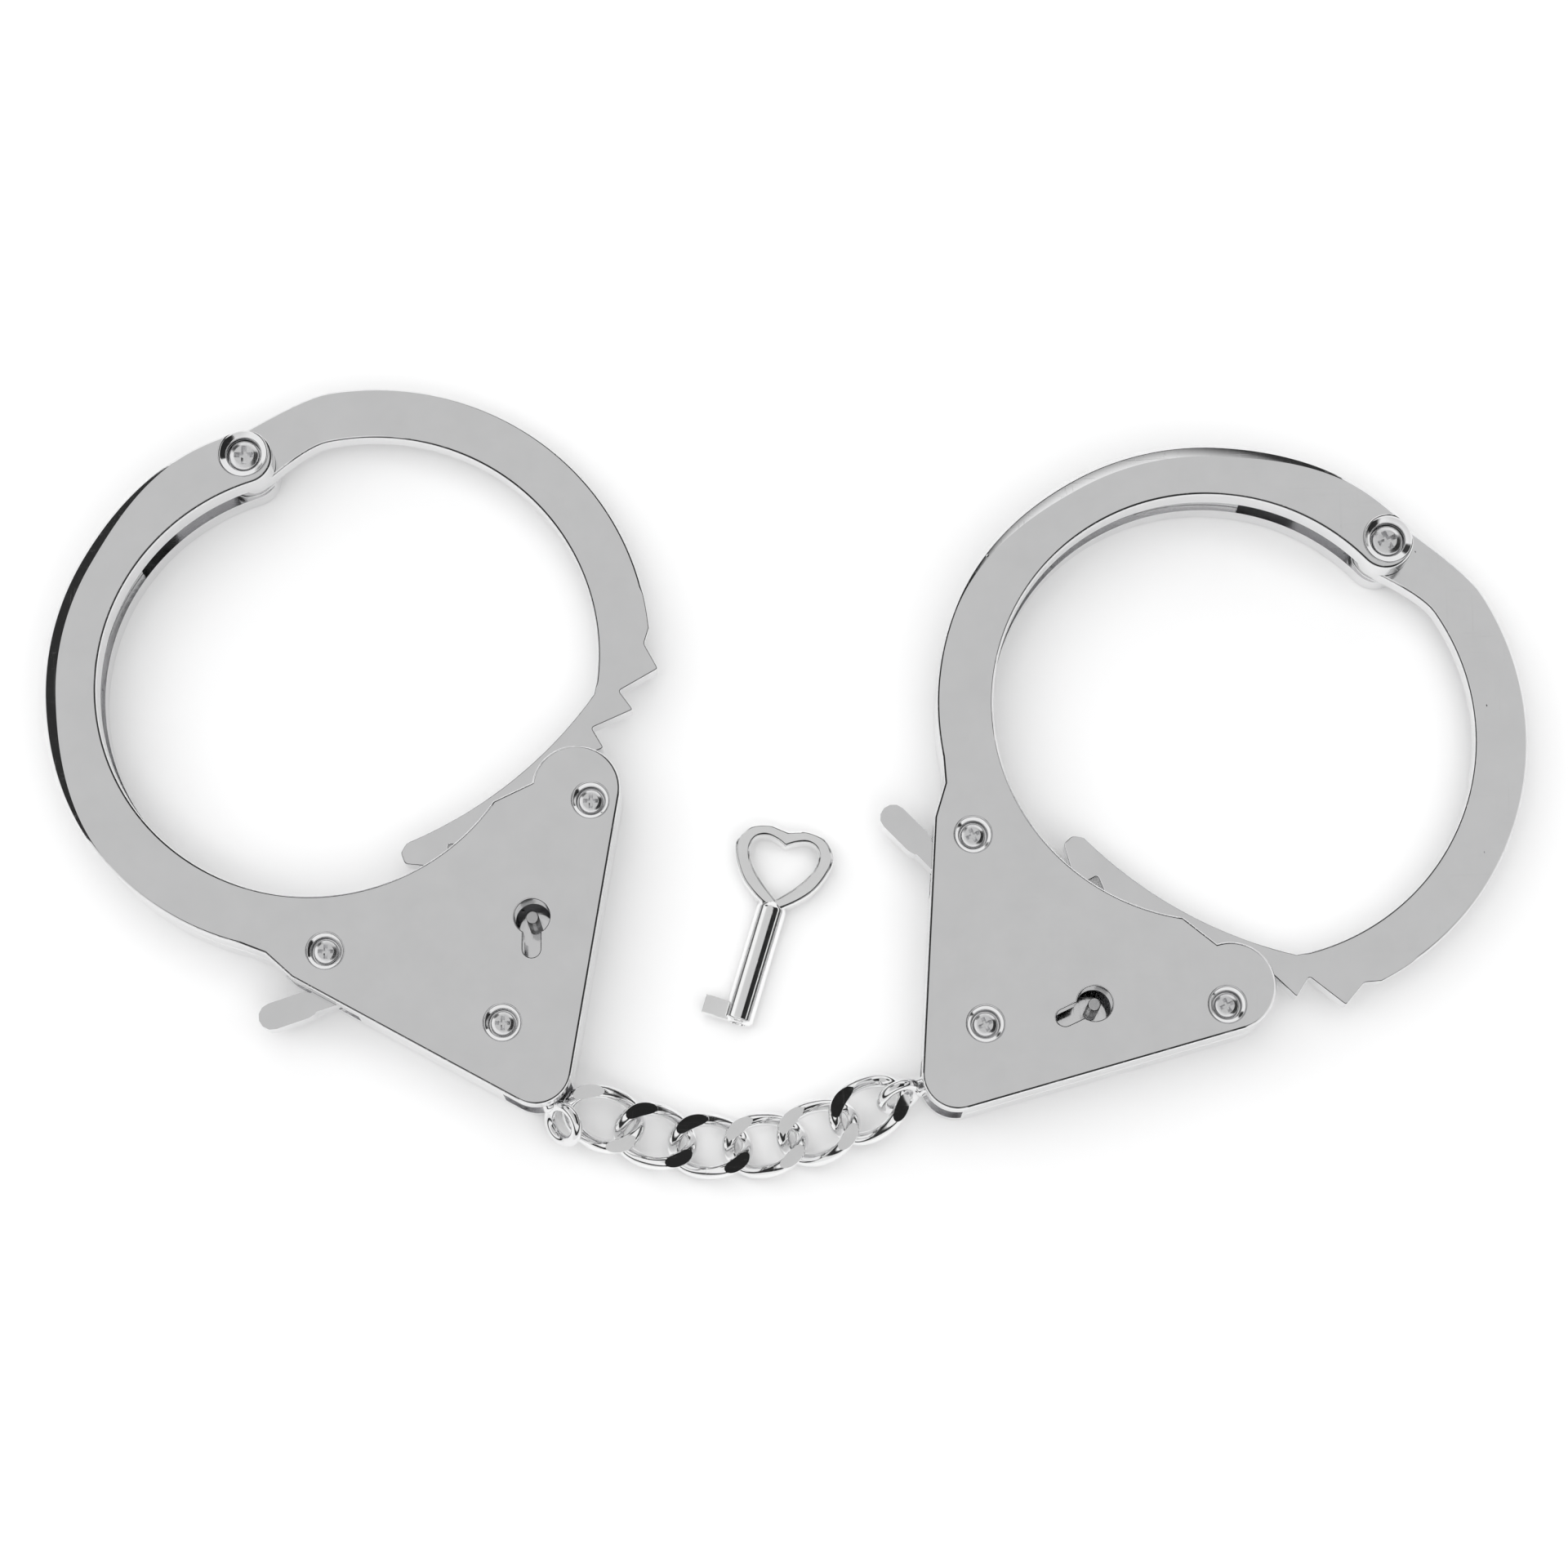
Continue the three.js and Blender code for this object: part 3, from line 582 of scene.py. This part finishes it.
def link(facet_tilt):
    """A twisted loop of wire with flats cut where it rises, above and below."""
    a, b, twist, wire = LINK_HALF_LENGTH, LINK_HALF_WIDTH, LINK_TWIST, LINK_WIRE
    steps, sides = 96, 28
    verts, faces = [], []
    for i in range(steps):
        t = 2 * math.pi * i / steps
        centre = Vector((a * math.cos(t), b * math.sin(t), -twist * math.sin(2 * t)))
        along = Vector((-a * math.sin(t), b * math.cos(t), -2 * twist * math.cos(2 * t))).normalized()
        out = Vector((b * math.cos(t), a * math.sin(t), 0)).normalized()
        out = (out - along * out.dot(along)).normalized()
        up = along.cross(out)
        for j in range(sides):
            turn = 2 * math.pi * j / sides
            verts.append(centre + out * math.cos(turn) * wire + up * math.sin(turn) * wire)
            k, m = (i + 1) % steps, (j + 1) % sides
            faces.append((i * sides + j, k * sides + j, k * sides + m, i * sides + m))
    made = mesh_object((verts, faces))
    bm = bmesh.new()
    bm.from_mesh(made.data)
    for sign in (1, -1):
        for t in (135, 315) if sign > 0 else (45, 225):
            x, y = a * math.cos(math.radians(t)), b * math.sin(math.radians(t))
            outwards = Vector((x, y, 0)).normalized()
            normal = Vector((
                outwards.x * FACET_LEAN + facet_tilt[0], outwards.y * FACET_LEAN + facet_tilt[1], sign))
            normal.normalize()
            top = Vector((x, y, sign * twist)) + normal * (wire - FACET_CUT)
            near = [
                v for v in bm.verts
                if (v.co - Vector((x, y, v.co.z))).length < FACET_REACH and v.co.z * sign > 0
            ]
            touched = {f for v in near for f in v.link_faces}
            edges = {e for f in touched for e in f.edges}
            cut = bmesh.ops.bisect_plane(
                bm, geom=[*near, *edges, *touched], plane_co=top, plane_no=normal, clear_outer=True)
            rim = [e for e in cut["geom_cut"] if isinstance(e, bmesh.types.BMEdge)]
            bmesh.ops.holes_fill(bm, edges=rim, sides=0)
    bmesh.ops.recalc_face_normals(bm, faces=bm.faces)
    bm.to_mesh(made.data)
    bm.free()
    return polish(baked(made))


# ---- key ----
def spline(points, step=4):
    """A smooth line through the points."""
    p = np.array([points[0], *points, points[-1]], float)
    out = []
    for k in range(1, len(points)):
        a, b, c, d = p[k - 1:k + 3]
        for t in np.arange(step) / step:
            out.append(((2 * b) + (c - a) * t + (2 * a - 5 * b + 4 * c - d) * t * t
                        + (3 * b - a - 3 * c + d) * t ** 3) / 2)
    return [tuple(q) for q in out] + [points[-1]]


def heart(half):
    """A whole heart from its right half, turned a little on the shank."""
    right = spline(half)
    whole = [*right[::-1], *((-x, y) for x, y in right[1:-1])]
    turn = math.radians(HEART_TURN)
    return [
        (x * math.cos(turn) - (y - HEART_MIDDLE) * math.sin(turn),
         HEART_MIDDLE + x * math.sin(turn) + (y - HEART_MIDDLE) * math.cos(turn))
        for x, y in whole
    ]


def key_mesh():
    """The key lying along +Y from its bored end, with its heart bow joined to the shank."""
    half = HEART_THICK / 2
    bow = plate(heart(HEART_OUTER), -half, half, (0.4, 0.55, CROWN), (0.4, 0.55, CROWN))
    inner, edge = heart(HEART_INNER), (0.35, 0.5, CROWN)
    rings = edge_rings(inner, -half, 1, edge, -1, 5)[::-1] + edge_rings(inner, half, -1, edge, -1, 5)
    low, high = rings[0].copy(), rings[-1].copy()
    low[:, 2] -= 1
    high[:, 2] += 1
    window = loft([low, *rings, high])
    profile = [(0, 0), (1.6, 0), (SHANK, 0.5), (SHANK, SHANK_TOP - 1.2, 0.3), (1.5, SHANK_TOP, 0.5),
               (0, SHANK_TOP)]
    shank = turned((0, 0), rounded(profile, 0.15), 64)
    bore = turned((0, 0), [(0, -1), (1.5, -1), (1.1, 0.35), (1.1, 8.6), (0, 9.2)], 48)
    upright = [(np.c_[v[:, 0], v[:, 2], v[:, 1]], f) for v, f in (shank, bore)]
    bit = [(-BIT_REACH, 0), (-0.4, 0), (-0.4, BIT_HIGH), (-BIT_REACH, BIT_HIGH)]
    bit_plate = plate(bit, -BIT_HALF, BIT_HALF, (0.25, 0.25), (0.25, 0.25), 3)
    steps = [("UNION", bit_plate), ("DIFFERENCE", upright[1]), ("UNION", combine_solid(bow, window))]
    return polish(combine(upright[0], steps))


def combine_solid(solid, cutter):
    """A cut solid, as vertices and faces."""
    mesh = combine(solid, [("DIFFERENCE", cutter)])
    verts = np.array([v.co for v in mesh.vertices])
    faces = [tuple(p.vertices) for p in mesh.polygons]
    bpy.data.meshes.remove(mesh)
    return verts, faces


# ---- materials ----
def node(tree, kind, values=None, **settings):
    made = tree.nodes.new(kind)
    for key, value in settings.items():
        setattr(made, key, value)
    for key, value in (values or {}).items():
        made.inputs[key].default_value = value
    return made


def ramp(tree, source, stops):
    made = tree.nodes.new("ShaderNodeValToRGB")
    elements = made.color_ramp.elements
    while len(elements) < len(stops):
        elements.new(0.5)
    for element, (at, colour) in zip(elements, stops):
        element.position = at
        element.color = (*colour, 1) if isinstance(colour, tuple) else (colour, colour, colour, 1)
    tree.links.new(source, made.inputs["Fac"])
    return made.outputs["Color"]


def mixed(tree, blend, a, b):
    made = node(tree, "ShaderNodeMix", data_type="RGBA", blend_type=blend)
    made.inputs["Factor"].default_value = 1.0
    tree.links.new(a, made.inputs["A"])
    tree.links.new(b, made.inputs["B"])
    return made.outputs["Result"]


def metal(name, dark, light, rough, ripple, scratch, grain, pits):
    """Plated metal: cloudy tone, uneven polish, broad ripples, hairline scratches and fine pits."""
    material = bpy.data.materials.new(name)
    material.use_nodes = True
    tree = material.node_tree
    link_to = tree.links.new
    shader = tree.nodes["Principled BSDF"]
    shader.inputs["Metallic"].default_value = 1.0
    place = node(tree, "ShaderNodeTexCoord").outputs["Object"]

    def noise(scale, detail=3.0, stretch=None, roughness=0.5):
        vector = place
        if stretch:
            mapping = node(tree, "ShaderNodeMapping", {"Scale": stretch[0], "Rotation": stretch[1]})
            link_to(place, mapping.inputs["Vector"])
            vector = mapping.outputs["Vector"]
        made = node(tree, "ShaderNodeTexNoise", {"Scale": scale, "Detail": detail, "Roughness": roughness})
        link_to(vector, made.inputs["Vector"])
        return made.outputs["Fac"]

    def bump(height, strength, distance, below=None):
        made = node(tree, "ShaderNodeBump", {"Strength": strength, "Distance": distance})
        link_to(height, made.inputs["Height"])
        if below:
            link_to(below, made.inputs["Normal"])
        return made.outputs["Normal"]

    cloud = noise(160, 5.0, roughness=0.6)
    link_to(ramp(tree, cloud, [(0.3, dark), (0.7, light)]), shader.inputs["Base Color"])
    hairline = noise(1.0, 2.0, ((2600, 90, 900), (0, 0, 0.7)))
    crossing = noise(1.0, 2.0, ((110, 2300, 900), (0, 0, -0.35)))
    lines = node(tree, "ShaderNodeMath", operation="MAXIMUM")
    for i, source in enumerate((hairline, crossing)):
        link_to(ramp(tree, source, [(0.62, 0.0), (0.7, 1.0)]), lines.inputs[i])
    smear = noise(420, 4.0)
    uneven = node(tree, "ShaderNodeMapRange", {"To Min": rough[0], "To Max": rough[1]})
    link_to(smear, uneven.inputs["Value"])
    rougher = node(tree, "ShaderNodeMath", operation="MULTIPLY_ADD")
    link_to(lines.outputs[0], rougher.inputs[0])
    rougher.inputs[1].default_value = scratch * 0.12
    link_to(uneven.outputs[0], rougher.inputs[2])
    link_to(rougher.outputs[0], shader.inputs["Roughness"])
    normal = bump(noise(95, 1.0), ripple, 0.0006)
    normal = bump(lines.outputs[0], scratch * 0.10, 0.00003, normal)
    if grain:
        normal = bump(noise(2400, 3.0), grain, 0.00006, normal)
    if pits:
        cells = node(tree, "ShaderNodeTexVoronoi", {"Scale": 330.0})
        link_to(place, cells.inputs["Vector"])
        spots = ramp(tree, cells.outputs["Distance"], [(0.03, 0.0), (0.08, 1.0)])
        normal = bump(spots, pits, 0.00005, normal)
    link_to(normal, shader.inputs["Normal"])
    return material


# Each metal's dark and light tone, roughness from and to, ripple, scratches, grain and pits.
METALS = {
    "bright_nickel": ((0.81, 0.81, 0.815), (0.85, 0.85, 0.855), (0.05, 0.11), 0.025, 0.5, 0.0, 0.25),
    "chain_nickel": ((0.84, 0.84, 0.845), (0.91, 0.91, 0.91), (0.05, 0.11), 0.03, 0.6, 0.0, 0.0),
    "key_nickel": ((0.92, 0.92, 0.92), (0.97, 0.97, 0.97), (0.06, 0.13), 0.04, 0.6, 0.0, 0.3),
    "screw_steel": ((0.76, 0.76, 0.77), (0.86, 0.86, 0.865), (0.12, 0.24), 0.06, 0.8, 0.14, 0.0),
    "lock_steel": ((0.52, 0.52, 0.53), (0.63, 0.63, 0.63), (0.22, 0.38), 0.05, 1.0, 0.4, 0.0),
    "spring_steel": ((0.36, 0.37, 0.39), (0.48, 0.49, 0.51), (0.2, 0.34), 0.04, 1.0, 0.2, 0.0),
}
FINISH = {name: metal(name, *look) for name, look in METALS.items()}


# ---- assembly ----
def middle_of(name):
    low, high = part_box(name)
    return (low + high) / 2


def in_plan(x, y, angle, z=0.0):
    return Matrix.Translation((x, y, z)) @ Matrix.Rotation(math.radians(angle), 4, "Z")


front, back, arm = front_shell(), back_shell(), swing_arm()
pivot, screws = pivot_screw(), [housing_screw(at) for at in HOUSING_SCREWS]
for side in ("left", "right"):
    centre = middle_of(f"{side}_pivot_sleeve")
    place = in_plan(centre.x, centre.y, TURN[side])
    cuff = f"{side}_cuff"

    def add(part, mesh, body, slot, at=place):
        name = f"{side}_{part}"
        piece(f"{name}_look", mesh, at, body, [name], slot)

    add("front_shell", front, cuff, "bright_nickel")
    add("back_shell", back, cuff, "bright_nickel")
    closed = place @ Matrix.Rotation(math.radians(CLOSE[side]), 4, "Z")
    add("swing_arm", arm, f"{side}_arm", "bright_nickel", closed)
    add("pivot_screw", pivot, cuff, "screw_steel")
    for number, mesh in enumerate(screws, 1):
        add(f"housing_screw_{number}", mesh, cuff, "screw_steel")
    for part, body, slot, width in (
        ("pivot_sleeve", cuff, "screw_steel", 0.12),
        ("pawl", f"{side}_pawl_body", "lock_steel", 0.18),
        ("pawl_pin", cuff, "lock_steel", 0.12),
        ("pawl_spring", cuff, "spring_steel", 0.06),
        ("release_lever", f"{side}_lever_body", "bright_nickel", 0.6),
        ("lever_pin", cuff, "lock_steel", 0.12),
        ("key_post", cuff, "lock_steel", 0.2),
    ):
        add(part, refined(f"{side}_{part}", width, place), body, slot)
    ball = place @ Vector((BALL[0] * MM, BALL[1] * MM, THICKNESS / 2 * MM))
    along = TURN[side] + STEM[side]
    eye_place = in_plan(ball.x, ball.y, along, ball.z)
    add("swivel", swivel(side), f"{side}_swivel_body", "bright_nickel", eye_place)

# Each link's heading in plan, its rise over one pitch, its body, and how its cut flats are tilted.
HEADINGS = [-22, -15, -4, 7, 19, 30]
RISES = [-0.27, -1.1, -0.55, 0.55, 1.1, 0.27]
LINK_BODIES = ["link_1", "link_2", "middle_link", "link_4", "link_5", "link_6"]
FACET_TILTS = [(0.05, 0.1), (0.13, 0.0), (0.165, 0.0), (0.07, 0.0), (0.14, 0.0), (0.22, -0.14)]
FIRST_ROLL = 10
for i, heading in enumerate(HEADINGS):
    climb = math.asin(RISES[i] / LINK_PITCH)
    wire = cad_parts[f"chain_link_{i + 1}"].data.vertices
    middle = sum((v.co for v in wire), Vector()) / len(wire)
    roll = math.radians(FIRST_ROLL if i == 0 else 0)
    turn = in_plan(middle.x, middle.y, heading, middle.z)
    place = turn @ Matrix.Rotation(-climb, 4, "Y") @ Matrix.Rotation(roll, 4, "X")
    name = f"chain_link_{i + 1}"
    piece(f"{name}_look", link(FACET_TILTS[i]), place, LINK_BODIES[i], [name], "chain_nickel")

piece("key_look", key_mesh(), in_plan(*KEY_PLACE, SHANK * MM), "loose_key", ["key"], "key_nickel")


# ---- stage, light and camera ----
# The sky's brightness by height: a dark band round the horizon, and a little darker overhead.
SKY = [
    (0.0, 0.9), (0.05, 0.9), (0.09, 0.03), (0.30, 0.03), (0.40, 0.95), (0.70, 0.95), (0.84, 0.64),
    (1.0, 0.62),
]
# What height counts of a direction, and of its distance sideways.
HEIGHT, SIDEWAYS = (0, 0.18, 1), (-0.12, 0, 0)
# A dark panel right of the camera, bounded by two ramps, and a small dark flag at the back left. Each
# is a direction, and brightness by how far a point of the sky lies that way, plus a half.
PANEL_ACROSS = ((0.809, 0.0, -0.588), [(0.17, 1.0), (0.19, 0.03), (0.80, 0.03), (0.83, 1.0)])
PANEL_ALONG = ((0.0, 1.0, 0.0), [(0.05, 1.0), (0.12, 0.03), (0.95, 0.03), (1.0, 1.0)])
FLAG = ((-0.25, 0.31, 0.30), [(0.985, 1.0), (0.991, 0.05)])
# Each light's place, size and power.
LIGHTS = {"key_light": ((0.3, -0.2, 1.4), 1.6, 12.0), "fill_light": ((-0.8, 0.5, 1.2), 1.6, 7.0)}
LENS, SENSOR = 89.7, 36
TARGET, EYE = Vector((-0.000213, -0.002486, 0.012)), Vector((-0.000213, -0.1199, 0.5493))


def studio():
    bpy.ops.mesh.primitive_plane_add(size=6.0, location=(0, 0, 0))
    floor = bpy.context.object
    floor.name = "floor"
    paper = bpy.data.materials.new("pale_paper")
    paper.use_nodes = True
    tree = paper.node_tree
    shader = tree.nodes["Principled BSDF"]
    shader.inputs["Roughness"].default_value = 0.9
    grain = node(tree, "ShaderNodeTexNoise", {"Scale": 40.0, "Detail": 2.0})
    tree.links.new(ramp(tree, grain.outputs["Fac"], [(0.3, 0.93), (0.7, 0.95)]), shader.inputs["Base Color"])
    floor.data.materials.append(paper)

    world = bpy.data.worlds.new("studio")
    bpy.context.scene.world = world
    world.use_nodes = True
    tree = world.node_tree
    background = tree.nodes["Background"]
    place = node(tree, "ShaderNodeTexCoord").outputs["Generated"]
    # The band round the horizon stands higher at both sides and lower at the back.
    sideways = node(tree, "ShaderNodeVectorMath", operation="ABSOLUTE")
    tree.links.new(place, sideways.inputs[0])
    heights = []
    for source, weights in ((place, HEIGHT), (sideways.outputs[0], SIDEWAYS)):
        weighted = node(tree, "ShaderNodeVectorMath", {1: weights}, operation="DOT_PRODUCT")
        tree.links.new(source, weighted.inputs[0])
        heights.append(weighted.outputs["Value"])
    height = node(tree, "ShaderNodeMath", operation="ADD")
    tree.links.new(heights[0], height.inputs[0])
    tree.links.new(heights[1], height.inputs[1])
    sky = ramp(tree, height.outputs[0], SKY)
    shades = []
    for direction, shade in (PANEL_ACROSS, PANEL_ALONG, FLAG):
        towards = node(tree, "ShaderNodeVectorMath", {1: direction}, operation="DOT_PRODUCT")
        tree.links.new(place, towards.inputs[0])
        centred = node(tree, "ShaderNodeMath", {1: 0.5}, operation="ADD")
        tree.links.new(towards.outputs["Value"], centred.inputs[0])
        shades.append(ramp(tree, centred.outputs[0], shade))
    panel = mixed(tree, "LIGHTEN", shades[0], shades[1])
    for shade in (panel, shades[2]):
        sky = mixed(tree, "MULTIPLY", sky, shade)
    tree.links.new(sky, background.inputs["Color"])
    background.inputs["Strength"].default_value = 1.0

    for name, (spot, size, power) in LIGHTS.items():
        lamp = bpy.data.lights.new(name, "AREA")
        lamp.energy = power
        lamp.size = size
        made = bpy.data.objects.new(name, lamp)
        bpy.context.scene.collection.objects.link(made)
        made.location = spot
        made.rotation_euler = (-Vector(spot)).to_track_quat("-Z", "Y").to_euler()
        made.visible_glossy = False


def camera():
    lens = bpy.data.cameras.new("camera")
    lens.lens = LENS
    lens.sensor_width = SENSOR
    lens.clip_start = 0.01
    made = bpy.data.objects.new("camera", lens)
    bpy.context.scene.collection.objects.link(made)
    made.location = EYE
    made.rotation_euler = (TARGET - EYE).to_track_quat("-Z", "Y").to_euler()
    bpy.context.scene.camera = made


studio()
camera()
bpy.context.scene.view_settings.view_transform = "Standard"
bpy.context.scene.view_settings.look = "None"
bpy.context.scene.cycles.glossy_bounces = 10
